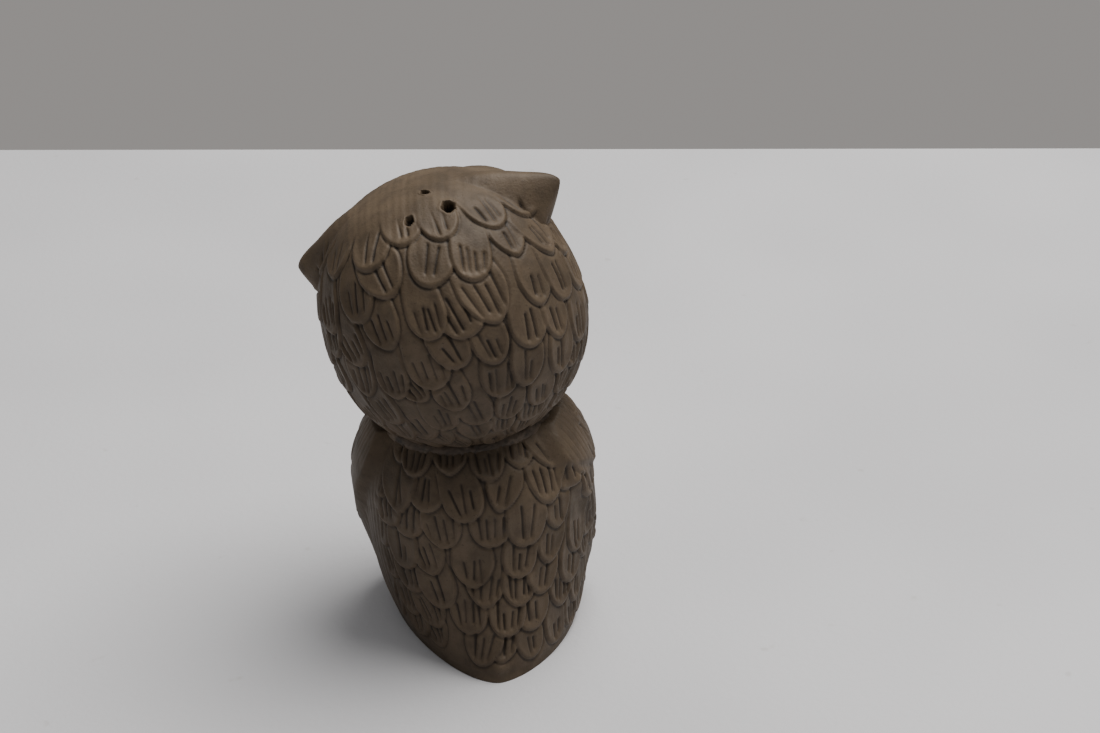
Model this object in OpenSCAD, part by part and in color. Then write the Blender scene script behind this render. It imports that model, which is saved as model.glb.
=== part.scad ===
// Hollow ceramic owl: a slip-cast shaker figurine with a tilted head.
// The owl stands on its flat foot rim and faces -Y. Its left wing is on +X.
// The origin is at the middle of the foot rim, on the surface that the owl stands on.

/* [Body] */
// Width of the body across the shoulders, without the wings
body_w = 38; // [36:0.5:50]
// Height of the dome that the body would have without its neck
body_h = 44; // [39:0.5:57]
// Height at which the body is widest
belly_z = 26; // [18:0.5:28]
// How far the breast stands in front of the middle
breast_reach = 19.5; // [16:0.5:24]
// How far the back stands behind the middle
back_reach = 20; // [16:0.5:24]
// How far the shoulders stand towards the owl's left of the foot rim
body_lean = 2; // [0:0.25:3]
// Thickness of the fired clay walls
wall = 3; // [2:0.25:4]

/* [Foot rim and tail] */
// Width of the foot rim
foot_w = 32; // [30:0.5:42]
// How far the foot rim reaches in front of the middle
foot_front = 16; // [14:0.5:19]
// How far the tail reaches behind the middle
tail_reach = 25.5; // [23:0.5:34]
// How far the tip of the tail lies towards the owl's left
tail_side = 1.5; // [-2:0.25:2]
// Height of the straight edge round the foot rim
foot_h = 1.4; // [1:0.1:2.5]
// Thickness of the clay floor
floor_t = 5; // [4:0.25:7]

/* [Head] */
// Width of the head
head_w = 43; // [38:0.5:53]
// Height of the head below its widest level
chin_h = 21; // [18:0.5:25]
// Height of the crown above the widest level
crown_h = 25; // [19:0.5:28]
// Lean of the head towards the owl's left, in degrees
head_tilt = 19; // [0:1:25]
// Turn of the head towards the owl's right, in degrees
head_turn = 11; // [0:1:25]

/* [Neck] */
// How far the neck joint lies below the top of the body dome
neck_drop = 6; // [5:0.25:8]
// How much of the head's underside is cut away at the neck joint
chin_cut = 4.25; // [3.5:0.25:8]
// Lean of the neck towards the owl's left, in degrees
neck_lean = 4.5; // [0:0.5:10]
// Radius of the bead of slip round the neck joint
slip_r = 1.7; // [1.2:0.1:2.5]

/* [Ear tufts] */
// How far the tip of the left tuft stands outside the head's radius
left_ear_out = 5.5; // [4:0.25:10]
// How far the tip of the right tuft stands outside the head's radius
right_ear_out = 7.25; // [4:0.25:12]
// Angle of each tuft from the top of the head, in degrees
ear_angle = 53; // [45:1:60]
// Angle that a tuft's root covers towards the crown, in degrees
ear_root_span = 26; // [15:1:30]
// Angle that a tuft's root covers below its tip, in degrees
ear_root_drop = 3; // [2:1:8]
// Lean of the tufts towards the face, in degrees
ear_lean = 8; // [0:1:15]
// Radius of a tuft where it leaves the head
ear_root_r = 5; // [4:0.25:6]
// Radius of a tuft's rounded tip
ear_tip_r = 1.3; // [1:0.1:2]

/* [Face] */
// Radius of each eye's ball
eye_r = 5; // [4:0.25:6]
// How far an eye stands out of the face
eye_proud = 2; // [1.5:0.25:3]
// Angle of each eye from the middle of the face, in degrees
eye_angle = 25; // [23:1:28]
// Height angle of the eyes above the middle of the face, in degrees
eye_lift = 6; // [0:1:9]
// Length of the beak
beak_len = 7; // [5:0.25:9]
// Radius of the beak at its root
beak_r = 2.8; // [2.25:0.25:3.5]
// Radius of the beak at its blunt tip
beak_tip_r = 0.5; // [0.3:0.1:1]
// Angle of the beak out from the face, in degrees
beak_out = 15; // [5:1:25]
// Radius of the ridge that runs from the forehead to each tuft
brow_r = 2.6; // [2:0.1:3.2]
// How far the middle of that ridge lies outside the head's radius
brow_lift = 1; // [0:0.1:2]
// Height angle of the point where the two ridges meet, in degrees
brow_dip = 38; // [34:1:48]

/* [Wings and feet] */
// How far a wing stands off the body
wing_proud = 1.5; // [1:0.1:2.5]
// Length of a wing from shoulder to tip
wing_len = 33; // [26:0.5:36]
// Width of a wing at the shoulder
wing_w = 19; // [16:0.5:23]
// Height of the middle of the shoulder
shoulder_z = 31.5; // [28:0.5:34]
// How far the left shoulder lies behind the middle
left_shoulder_y = -3; // [-4:0.25:3]
// How far the right shoulder lies behind the middle
right_shoulder_y = 4; // [-2:0.25:5]
// How far the tip of a wing lies in front of its shoulder
wing_sweep = 5; // [0:0.5:8]
// Radius of a wing's tip
wing_tip_r = 3; // [2:0.25:4]
// Distance of each foot from the middle
foot_x = 8; // [7:0.25:9.5]
// How far the heel of a foot lies behind the front of the foot rim
heel_in = 4; // [3:0.25:5]
// Radius of a toe
toe_r = 2; // [1.6:0.1:2.4]
// Angle between a foot's toes, in degrees
toe_spread = 26; // [20:1:30]
// How far the middle toe stands in front of the foot rim
toe_reach = 3.6; // [3:0.1:5]

/* [Holes and stopper] */
// Radius of each pour hole in the crown
pour_r = 1.1; // [0.8:0.1:1.5]
// Radius of the ring that the pour holes lie on
pour_ring_r = 3.5; // [3:0.1:4.5]
// How far the ring of pour holes lies behind the head's axis
pour_back = 6.5; // [3:0.25:8]
// How far the ring of pour holes lies towards the owl's right
pour_side = 4; // [0:0.25:5]
// Radius of the fill hole in the floor
fill_r = 9.5; // [8:0.25:10]
// Radial clearance between the stopper's plug and the fill hole
plug_fit = 0.06; // [0.03:0.01:0.1]
// How far the stopper's flange is wider than its plug, each side
flange_lip = 2; // [1.5:0.1:2.5]
// Thickness of the stopper's flange
flange_t = 1.5; // [1.2:0.1:1.8]
// Depth of the recess that hides the flange
recess_d = 2.2; // [2:0.1:2.6]
// Radial clearance round the flange in its recess
recess_fit = 0.6; // [0.4:0.1:1]
// Length of the plug above the flange
plug_len = 7; // [5:0.5:9]
// Wall of the hollow plug
plug_wall = 1.2; // [1:0.1:1.6]

/* [Hidden] */

$fn = 96;
ring_points = 48;
dome_rings = 9;
flank_rings = 7;
round_points = 24;
tuft_points = 32;
bead_points = 20;
// Powers of the curves that the body's sides, breast and back follow down to the foot rim
side_power = 3;
front_power = 2;
back_power = 1.5;
// Powers of the outlines of the tail and the crown: 2 is an ellipse
tail_power = 1.6;
crown_power = 2.3;
// Steps of the head's outline below and above its widest level, in degrees
chin_step = 9;
crown_step = 7.5;
// Turn of each pour hole round its ring
pour_turns = [-85, 42, 170];
// Height of a toe's middle as a share of its radius, so that it stands on a flat sole
toe_sink = 0.8;
// How deep the root of the beak lies in the face
beak_sink = 1;
// Height and depth of the lead-in on the stopper's plug
lead_h = 1;
lead_in = 0.6;
// How far a cut reaches past what it cuts
over = 1;
far = 80;

// Middle of the neck joint, and the neck's own axis
neck_z = body_h - neck_drop;
neck_x = body_lean + (neck_z - belly_z) * tan(neck_lean);
head_rise = chin_h - chin_cut;
head_r = head_w / 2;
neck_r = min(body_half_w(neck_z), head_r * sqrt(1 - pow(head_rise / chin_h, 2)));

// A quarter wave that is 1 at the belly and 0 at the top of the dome
function dome(z, inset) = sqrt(max(0, 1 - pow((z - belly_z) / (body_h - inset - belly_z), 2)));
// How far a level below the belly has gone down to the floor, from 0 to 1
function drop(z) = max(0, (belly_z - z) / belly_z);
function half_size(z, belly, foot, power, inset) =
    z > belly_z ? (belly - inset) * dome(z, inset) : belly - inset + (foot - belly) * pow(drop(z), power);
function body_half_w(z, inset = 0) = half_size(z, body_w / 2, foot_w / 2, side_power, inset);
function body_front(z, inset = 0) = half_size(z, breast_reach, foot_front, front_power, inset);
function body_back(z, inset = 0) = half_size(z, back_reach, tail_reach, back_power, inset);
function signed_pow(v, p) = sign(v) * pow(abs(v), p);

// How far a point of a level lies aside, for the lean of the body and the tip of the tail
function aside(z, a) = body_lean * (1 - drop(z))
                       + (a < 180 ? tail_side * pow(drop(z), 2) * pow(sin(a), 4) : 0);

// One level of the body: a half ellipse in front, and a sharper curve round to the tail
function outline(z, inset = 0) = [
    for (i = [0 : ring_points - 1])
        let (a = 360 * i / ring_points, behind = a < 180, p = 2 - (2 - tail_power) * drop(z))
        [body_half_w(z, inset) * (behind ? signed_pow(cos(a), 2 / p) : cos(a)) + aside(z, a),
         behind ? body_back(z, inset) * pow(sin(a), 2 / p) : body_front(z, inset) * sin(a)]];

// The body as a stack of levels between a flat bottom and the top of its dome
module body_form(bottom, inset = 0) {
    flank = [for (i = [0 : flank_rings - 1]) bottom + (belly_z - bottom) * i / flank_rings];
    upper = [for (i = [0 : dome_rings - 1])
             belly_z + (body_h - inset - belly_z) * sin(90 * i / dome_rings)];
    levels = concat(flank, upper);
    n = ring_points;
    top = len(levels) * n;
    points = concat([for (z = levels) for (p = outline(z, inset)) [p[0], p[1], z]],
                    [[body_lean, 0, body_h - inset]]);
    sides = [for (k = [0 : len(levels) - 2]) for (i = [0 : n - 1])
             let (j = (i + 1) % n) each [[k * n + i, (k + 1) * n + i, (k + 1) * n + j],
                                         [k * n + i, (k + 1) * n + j, k * n + j]]];
    cap = [for (i = [0 : n - 1]) [top - n + i, top, top - n + (i + 1) % n]];
    polyhedron(points, concat([[for (i = [0 : n - 1]) i]], sides, cap));
}

// Places its children in the neck's frame, with z = 0 at the joint
module at_neck() {
    translate([neck_x, 0, neck_z]) rotate([0, neck_lean, 0]) children();
}

// Places its children in the head's frame, with its own up as +Z and its face on -Y
module at_head() {
    at_neck() translate([0, 0, head_rise])
        rotate([0, -neck_lean, -head_turn]) rotate([0, head_tilt, 0]) children();
}

// A point at a distance from the head's middle, by its turn from the face and its height angle
function on_head(turn, lift, r) = [r * sin(turn) * cos(lift), -r * cos(turn) * cos(lift), r * sin(lift)];

// Everything below the neck joint that the walls of the body are cut from
module body_outer() {
    difference() {
        union() {
            body_form(foot_h);
            linear_extrude(foot_h) polygon(outline(foot_h));
        }
        at_neck() translate([-far / 2, -far / 2, 0]) cube(far);
    }
}

// The head turned on its own axis, with a fuller crown than chin
module head_form(inset = 0) {
    r = head_r - inset;
    low = [for (a = [-90 : chin_step : -chin_step]) [r * cos(a), (chin_h - inset) * sin(a)]];
    high = [for (a = [0 : crown_step : 90])
            [r * pow(cos(a), 2 / crown_power), (crown_h - inset) * pow(sin(a), 2 / crown_power)]];
    rotate_extrude() polygon(concat(low, high));
}

// Where a tuft points, in the head's frame
function tuft_way(side) = [side * sin(ear_angle), -cos(ear_angle) * sin(ear_lean),
                           cos(ear_angle) * cos(ear_lean)];

// A ridge from the forehead to each tuft, bent once on the way to follow the head
module brows() {
    for (side = [-1, 1]) {
        low = on_head(0, brow_dip, 1);
        high = tuft_way(side);
        mid = (low + high) / norm(low + high);
        for (pair = [[low, mid], [mid, high]]) hull()
            for (way = pair)
                translate(way * (head_r + brow_lift)) sphere(brow_r, $fn = round_points);
    }
}

module head_outer() {
    difference() {
        at_head() {
            head_form();
            brows();
        }
        at_neck() translate([-far / 2, -far / 2, -far]) cube(far);
    }
}

module body_shell() {
    color([0.42, 0.36, 0.3]) difference() {
        body_outer();
        body_form(floor_t, wall);
        translate([0, 0, -over]) cylinder(h = floor_t + 2 * over, r = fill_r);
        translate([0, 0, -over]) cylinder(h = recess_d + over, r = fill_r + flange_lip + recess_fit);
    }
}

module head_shell() {
    color([0.5, 0.43, 0.36]) difference() {
        head_outer();
        at_head() head_form(wall);
        at_head() translate([-pour_side, pour_back, 0]) for (a = pour_turns)
            rotate([0, 0, a]) translate([pour_ring_r, 0, 0]) cylinder(h = crown_h * 2, r = pour_r);
    }
}

// The bead of slip before the body and the head are cut out of it
module slip_bead() {
    turn = 360 / bead_points;
    at_neck() rotate_extrude() translate([neck_r, 0])
        polygon([for (i = [0 : bead_points - 1])
                 slip_r * [cos((i + 0.5) * turn), sin((i + 0.5) * turn)]]);
}

module neck_slip_joint() {
    color([0.36, 0.3, 0.25]) difference() {
        slip_bead();
        body_outer();
        head_outer();
    }
}

// A horn that rises from the crown and ends in a rounded tip out to the side
module ear_tuft(side, out) {
    difference() {
        at_head() rotate([ear_lean, 0, 0]) hull() {
            rotate([0, side * (ear_angle - ear_root_span), 0])
                translate([0, 0, crown_h - ear_root_r]) sphere(ear_root_r, $fn = tuft_points);
            rotate([0, side * (ear_angle + ear_root_drop), 0])
                translate([0, 0, head_r - ear_root_r]) sphere(ear_root_r, $fn = tuft_points);
            rotate([0, side * ear_angle, 0]) translate([0, 0, head_r + out - ear_tip_r])
                sphere(ear_tip_r, $fn = tuft_points);
        }
        head_outer();
    }
}

module left_ear_tuft() {
    color([0.47, 0.4, 0.33]) ear_tuft(1, left_ear_out);
}

module right_ear_tuft() {
    color([0.47, 0.4, 0.33]) ear_tuft(-1, right_ear_out);
}

// The outline of a wing seen from the side: a round shoulder that narrows to the tip
module wing_outline() {
    hull() {
        translate([0, shoulder_z]) circle(wing_w / 2);
        translate([-wing_sweep, shoulder_z + wing_w / 2 - wing_len + wing_tip_r]) circle(wing_tip_r);
    }
}

module wing(side, shoulder_y) {
    difference() {
        intersection() {
            body_form(foot_h, -wing_proud);
            rotate([90, 0, 90]) mirror([0, 0, side < 0 ? 1 : 0])
                linear_extrude(far) translate([shoulder_y, 0]) wing_outline();
        }
        body_form(foot_h);
        at_neck() translate([-far / 2, -far / 2, 0]) cube(far);
        slip_bead();
    }
}

module left_wing() {
    color([0.4, 0.33, 0.28]) wing(1, left_shoulder_y);
}

module right_wing() {
    color([0.4, 0.33, 0.28]) wing(-1, right_shoulder_y);
}

module eye(side) {
    difference() {
        at_head() translate(on_head(side * eye_angle, eye_lift, head_r - eye_r + eye_proud)) sphere(eye_r);
        head_outer();
    }
}

module left_eye() {
    color([0.85, 0.7, 0.3]) eye(1);
}

module right_eye() {
    color([0.85, 0.7, 0.3]) eye(-1);
}

module beak() {
    color([0.3, 0.25, 0.2]) difference() {
        at_head() translate(on_head(0, 0, head_r - beak_sink)) rotate([180 - beak_out, 0, 0])
            cylinder(h = beak_len, r1 = beak_r, r2 = beak_tip_r);
        head_outer();
    }
}

module foot(side) {
    heel = [side * foot_x, -foot_front + heel_in, toe_r * toe_sink];
    difference() {
        for (spread = [-toe_spread, 0, toe_spread]) hull() {
            translate(heel) sphere(toe_r, $fn = round_points);
            translate(heel + (toe_reach + heel_in - toe_r) * [sin(spread), -cos(spread), 0])
                sphere(toe_r, $fn = round_points);
        }
        body_outer();
        translate([-far / 2, -far / 2, -far]) cube(far);
    }
}

module left_foot() {
    color([0.45, 0.37, 0.3]) foot(1);
}

module right_foot() {
    color([0.45, 0.37, 0.3]) foot(-1);
}

module base_stopper() {
    flange_z = recess_d - flange_t;
    plug_r = fill_r - plug_fit;
    color([0.85, 0.84, 0.8]) difference() {
        union() {
            translate([0, 0, flange_z]) cylinder(h = flange_t, r = plug_r + flange_lip);
            translate([0, 0, recess_d]) cylinder(h = plug_len - lead_h, r = plug_r);
            translate([0, 0, recess_d + plug_len - lead_h])
                cylinder(h = lead_h, r1 = plug_r, r2 = plug_r - lead_in);
        }
        translate([0, 0, recess_d]) cylinder(h = plug_len + over, r = plug_r - plug_wall);
    }
}

body_shell();
head_shell();
neck_slip_joint();
left_ear_tuft();
right_ear_tuft();
left_wing();
right_wing();
left_eye();
right_eye();
beak();
left_foot();
right_foot();
base_stopper();
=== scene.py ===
import bpy
import numpy as np
from mathutils import Matrix, Vector


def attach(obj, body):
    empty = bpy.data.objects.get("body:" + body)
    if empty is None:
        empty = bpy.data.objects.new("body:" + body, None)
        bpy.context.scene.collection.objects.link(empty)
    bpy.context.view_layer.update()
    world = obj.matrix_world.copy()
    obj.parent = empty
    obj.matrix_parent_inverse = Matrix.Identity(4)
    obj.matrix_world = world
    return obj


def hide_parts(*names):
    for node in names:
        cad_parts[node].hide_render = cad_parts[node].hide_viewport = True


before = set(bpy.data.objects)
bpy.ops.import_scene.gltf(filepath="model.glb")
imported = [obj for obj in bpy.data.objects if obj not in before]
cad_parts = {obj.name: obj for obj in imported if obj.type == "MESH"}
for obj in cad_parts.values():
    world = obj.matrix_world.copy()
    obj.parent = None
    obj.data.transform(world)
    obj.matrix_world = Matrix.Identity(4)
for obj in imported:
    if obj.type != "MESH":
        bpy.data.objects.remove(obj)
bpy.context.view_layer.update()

MM = 0.001

# The camera: a 50 mm lens on a small sensor, above and behind the owl, a little to its left.
LENS_MM, SENSOR_MM = 50.0, 22.3
CAMERA_TURN, CAMERA_HEIGHT = np.radians(7.5), np.radians(30.0)
CAMERA_REACH = 0.407
LOOK_AT = np.array([0.0015, 0.0, 0.040])
AIM_RIGHT, AIM_UP = 0.0124, 0.0047

# The body, in millimetres, as the CAD solids have it.
BODY_TOP, BELLY_Z, FLOOR_T, WALL = 44.0, 26.0, 5.0, 3.0
HALF_W, BREAST, BACK = 19.0, 19.5, 20.0
FOOT_HALF_W, FOOT_FRONT, TAIL = 16.0, 16.0, 25.5
SIDE_POWER, FRONT_POWER, BACK_POWER = 3.0, 2.0, 1.5
BODY_LEAN = 2.0
TAIL_POWER, TAIL_SIDE = 1.6, 1.5
FILL_R, RECESS_R, RECESS_D = 9.5, 12.1, 2.2
SHOULDER, SHOULDER_R = np.array([0.0, 31.5]), 9.5
LEFT_SHOULDER_Y, RIGHT_SHOULDER_Y = -3.0, 4.0
WING_TIP, WING_TIP_R = np.array([-5.0, 11.0]), 3.0
WING_PROUD = 1.5

# The head, in its own frame.
NECK_Z, NECK_LEAN, HEAD_RISE = 38.0, np.radians(4.5), 16.75
HEAD_R, CHIN_H, CROWN_H, CROWN_POWER = 21.5, 21.0, 25.0, 2.3
HEAD_TILT, HEAD_TURN = np.radians(19.0), np.radians(11.0)
TUFT_ANGLE, TUFT_LEAN = np.radians(53.0), np.radians(8.0)
BROW_DIP = np.radians(38.0)
EYE_TURN, EYE_LIFT, EYE_R, EYE_PROUD = np.radians(25.0), np.radians(6.0), 5.0, 2.0
POUR_DEPTH = 3.2

# The skin lies this far inside the CAD surface, to leave room for most of its relief.
SKIN_INSET = 0.3


def smoothstep(low, high, x):
    t = np.clip((x - low) / (high - low), 0, 1)
    return t * t * (3 - 2 * t)


def bell(x, width):
    return np.exp(-((x / width) ** 2))


def mix(a, b, share):
    return a + (b - a) * share


def unit(v):
    return v / np.maximum(np.linalg.norm(v, axis=-1, keepdims=True), 1e-12)


def turn_z(angle):
    c, s = np.cos(angle), np.sin(angle)
    return np.array([[c, -s, 0], [s, c, 0], [0, 0, 1]])


def turn_y(angle):
    c, s = np.cos(angle), np.sin(angle)
    return np.array([[c, 0, s], [0, 1, 0], [-s, 0, c]])


NECK_AXES = turn_y(NECK_LEAN)
NECK = np.array([BODY_LEAN + (NECK_Z - BELLY_Z) * np.tan(NECK_LEAN), 0, NECK_Z])
HEAD_AXES = NECK_AXES @ turn_z(-HEAD_TURN) @ turn_y(HEAD_TILT - NECK_LEAN)
HEAD = NECK + NECK_AXES @ np.array([0, 0, HEAD_RISE])


def soft_noise(points, wavelength, seed, waves=10):
    """A smooth noise of about -1 to 1 over points in mm, from a few sine waves."""
    rng = np.random.default_rng(seed)
    out = np.zeros(len(points))
    for _ in range(waves):
        way = unit(rng.normal(size=3)) * 2 * np.pi / (wavelength * rng.uniform(0.7, 1.5))
        out += np.sin(points @ way + rng.uniform(0, 2 * np.pi))
    return out / np.sqrt(waves)


def spaced(count, low, high, density):
    """Values from low to high that lie closer together where density is larger."""
    fine = np.linspace(low, high, 4000)
    weight = np.concatenate([[0], np.cumsum(density(0.5 * (fine[1:] + fine[:-1])))])
    return np.interp(np.linspace(0, weight[-1], count), weight, fine)


# Feathers: heights in mm of the plates, then the groove round each and where it lies, the bead
# inside the edge and where it lies, and the hollow of the plate
FEATHER_LIFT, WING_FEATHER_LIFT, BREAST_LIFT = 0.21, 0.14, 0.32
GROOVE, GROOVE_OUT, GROOVE_WIDTH = 0.19, 0.14, 0.2
BEAD, BEAD_IN, BEAD_WIDTH, HOLLOW = 0.11, 0.42, 0.3, 0.10
# How pointed a feather's tip may be, how much it may skew, and its engraved strokes
TIP_POWERS, SKEW = (1.55, 2.3), 0.16
STROKE_STEP, STROKE_WIDTH, STROKE_DEPTHS = 0.17, 0.24, (0.24, 0.42)

# ---------------------------------------------------------------- skins on a grid of rings


class Skin:
    """A surface on rings of points, with a relief height at each of them."""

    def __init__(self, points, rings, columns):
        self.points, self.rings, self.columns = points, rings, columns
        self.faces = ring_faces(rings, columns)
        self.normals = point_normals(points, self.faces)
        self.height = np.zeros(len(points))

    def blurred(self, values, across, along):
        grid = values.reshape(self.rings, self.columns)
        for _ in range(across):
            grid = (np.roll(grid, 1, 1) + 2 * grid + np.roll(grid, -1, 1)) / 4
        for _ in range(along):
            up = np.vstack([grid[:1], grid[:-1]])
            down = np.vstack([grid[1:], grid[-1:]])
            grid = (up + 2 * grid + down) / 4
        return grid.ravel()


def ring_faces(rings, columns):
    k, i = np.meshgrid(np.arange(rings - 1), np.arange(columns), indexing="ij")
    j = (i + 1) % columns
    a, b = k * columns + i, k * columns + j
    return np.stack([a, a + columns, b + columns, b], -1).reshape(-1, 4)


def point_normals(points, faces):
    p = points[faces]
    cross = np.cross(p[:, 2] - p[:, 0], p[:, 3] - p[:, 1])
    out = np.zeros_like(points)
    for corner in range(4):
        np.add.at(out, faces[:, corner], cross)
    return unit(out)


def lay_feather(skin, tip, down, width, length, power, lift, strokes, rng):
    """Lays one feather over what is there: a raised plate with a rounded or pointed tip, a bead
    along its edge, a groove round it and short engraved strokes down its middle."""
    offset = skin.points - tip
    near = np.flatnonzero((offset**2).sum(1) < (length + 2.0) ** 2)
    near = near[skin.normals[near] @ rng_normal(skin, tip) > 0.2]
    offset = offset[near]
    outward = rng_normal(skin, tip)
    down = unit(down - outward * (down @ outward))
    side = np.cross(outward, down)
    bend = 1 + (offset @ outward) ** 2 / np.maximum((offset**2).sum(1), 1e-9) * 0.17
    u, v = offset @ side * bend, -(offset @ down) * bend
    round_v = width * rng.uniform(0.62, 0.8)
    half = width / 2 * (1 - 0.12 * smoothstep(round_v, length, v))
    along = np.clip((round_v - v) / round_v, 0, None)
    edge = (1 - (np.abs(u / half) ** power + along**power) ** (1 / power)) * half
    inside = smoothstep(-0.10, 0.16, edge)
    plate = lift * (1 - 0.8 * smoothstep(0.0, length * 0.9, v))
    plate += BEAD * bell(edge - BEAD_IN, BEAD_WIDTH) * (1 - smoothstep(0.5, 0.9, v / length))
    plate -= HOLLOW * smoothstep(0.6, 1.6, edge)
    plate += engraved(u, v, width, length, strokes, rng) * smoothstep(0.2, 0.7, edge)
    reach = v > -1.0
    groove = -GROOVE * bell(edge + GROOVE_OUT, GROOVE_WIDTH)
    groove = groove * (1 - smoothstep(0.75, 1.0, v / length)) * reach
    top = v < length
    skin.height[near] = np.where(
        top, mix(skin.height[near], plate, inside) + groove, skin.height[near]
    )


def rng_normal(skin, tip):
    return skin.normals[np.argmin(((skin.points - tip) ** 2).sum(1))]


def engraved(u, v, width, length, strokes, rng):
    """Short cut lines down the middle of a feather."""
    cut = np.zeros(len(u))
    for k in range(strokes):
        middle = (k - (strokes - 1) / 2) * STROKE_STEP * width + rng.normal() * 0.12
        fan = rng.normal() * 0.05 + 0.05 * (k - (strokes - 1) / 2)
        low, high = rng.uniform(0.16, 0.3) * width, rng.uniform(0.6, 0.95) * width
        ends = smoothstep(low - 0.35, low + 0.15, v) * (1 - smoothstep(high, high + 0.6, v))
        depth = rng.uniform(*STROKE_DEPTHS)
        cut = np.minimum(cut, -depth * bell(u - middle - fan * (v - low), STROKE_WIDTH) * ends)
    return cut


# ---------------------------------------------------------------- the head


def head_radius(way):
    """The head's plain radius in each direction, a round chin under a fuller crown."""
    side = np.hypot(way[:, 0], way[:, 1]) / HEAD_R
    up = (side**CROWN_POWER + np.clip(way[:, 2] / CROWN_H, 0, None) ** CROWN_POWER) ** (-1 / CROWN_POWER)
    low = (side**2 + (way[:, 2] / CHIN_H) ** 2) ** -0.5
    return mix(low, up, smoothstep(-0.12, 0.12, way[:, 2]))


def tuft_way(side):
    return np.array([side * np.sin(TUFT_ANGLE), -np.cos(TUFT_ANGLE) * np.sin(TUFT_LEAN),
                     np.cos(TUFT_ANGLE) * np.cos(TUFT_LEAN)])


def from_way(way, axis, up=np.array([0, 0, 1.0])):
    """Millimetres down and across from an axis direction, measured along the head."""
    down = unit(axis * (axis @ up) - up)
    across = np.cross(axis, down)
    ahead = way @ axis
    return HEAD_R * np.arctan2(way @ down, ahead), HEAD_R * np.arctan2(way @ across, ahead), ahead


# Tufts, in mm: how far each stands out, the length of its slope up from the crown and of the side
# below, its half widths behind and in front, and the crease round its root
LEFT_TUFT, RIGHT_TUFT = 3.0, 5.6
TUFT_ABOVE, TUFT_BELOW, TUFT_BEHIND, TUFT_AHEAD = 13.0, 2.6, 3.3, 5.6
TUFT_CREASE = 0.4


def tuft_height(way, side, reach):
    """A horn with a long slope up from the crown, and a short undercut side below."""
    down, across, ahead = from_way(way, tuft_way(side))
    slope = np.where(down < 0, np.abs(down) / TUFT_ABOVE, down / TUFT_BELOW)
    spread = np.hypot(slope, across / np.where(across * side > 0, TUFT_BEHIND, TUFT_AHEAD))
    rise = 1 - np.sqrt(spread**2 + 0.012) + 0.02
    crease = -TUFT_CREASE * bell(spread - 1.0, 0.1) * smoothstep(-5, -1, down)
    return (reach * np.clip(rise, 0, None) ** 1.25 + crease) * (ahead > 0)


def arc_distance(way, a, b):
    """Millimetres from the arc that joins two directions, and how far along it, from 0 to 1."""
    n = unit(np.cross(a, b))
    m = np.cross(n, a)
    turn = np.arccos(a @ b)
    along = np.arctan2(way @ m, way @ a)
    share = np.clip(along / turn, 0, 1)
    near = np.outer(np.cos(share * turn), a) + np.outer(np.sin(share * turn), m)
    return HEAD_R * np.linalg.norm(way - near, axis=1), share


def eye_way(side):
    return np.array([side * np.sin(EYE_TURN) * np.cos(EYE_LIFT),
                     -np.cos(EYE_TURN) * np.cos(EYE_LIFT), np.sin(EYE_LIFT)])


# The face, in mm: its discs, the ridges of its brows and the rim of each eyelid
DISC_R, DISH_DEPTH, DISC_RIM, RAY_DEPTH = 8.3, 0.9, 0.6, 0.22
BROW_H, BROW_WIDTH = 1.7, 2.3


def face_height(way):
    """Brow ridges that meet over the beak, and a dished disc with a raised rim round each eye."""
    out = np.zeros(len(way))
    meeting = np.array([0, -np.cos(BROW_DIP), np.sin(BROW_DIP)])
    for side in (-1, 1):
        far, share = arc_distance(way, meeting, tuft_way(side))
        out = np.maximum(out, BROW_H * bell(far, BROW_WIDTH) * (1 - 0.3 * share))
    for side in (-1, 1):
        down, across, ahead = from_way(way, eye_way(side))
        far = np.hypot(down, across)
        turn = np.arctan2(across, down)
        dish = -DISH_DEPTH * (1 - smoothstep(DISC_R - 2.5, DISC_R, far))
        dish += DISC_RIM * bell(far - DISC_R, 0.8)
        rays = -RAY_DEPTH * np.clip(np.cos(34 * turn + 2 * np.sin(3 * turn)), 0, 1) ** 2
        rays *= smoothstep(EYE_R, EYE_R + 0.6, far) * (1 - smoothstep(DISC_R - 0.9, DISC_R - 0.2, far))
        lid = 1.0 * bell(far - EYE_R + 0.2, 0.55)
        out += np.where(ahead > 0, (dish + rays + lid) * (1 - smoothstep(0.4, 1.4, out)), 0)
    return out


COLUMNS = 440


def dense_turns():
    """Turns round the owl, from -180 to 180 degrees, closer together over its back at 0."""
    return spaced(COLUMNS + 1, -np.pi, np.pi,
                  lambda a: 2.4 - 1.4 * smoothstep(1.7, 2.1, np.abs(a)))[:-1]


def head_rows():
    def density(t):
        return 0.35 + 0.65 * smoothstep(0.04, 0.1, t) * (1 - smoothstep(2.35, 2.6, t))
    return spaced(222, 0.012, np.pi - 0.012, density)[::-1]


# The rows of head feathers run round a pole on the forehead, this far in front of the crown.
ROW_TILT = np.radians(20.0)
ROW_AXES = np.array([[1, 0, 0], [0, np.cos(ROW_TILT), -np.sin(ROW_TILT)],
                     [0, np.sin(ROW_TILT), np.cos(ROW_TILT)]])
HEAD_ROWS = (
    # angle of the tips from that pole and how far the row reaches round, in degrees, then the
    # width of a feather in mm
    (55, 62, 6.2), (73, 96, 7.0), (91, 120, 6.8), (108, 124, 6.4), (123, 128, 5.8),
    (136, 132, 5.2), (147, 136, 4.8), (157, 140, 4.4),
)


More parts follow.
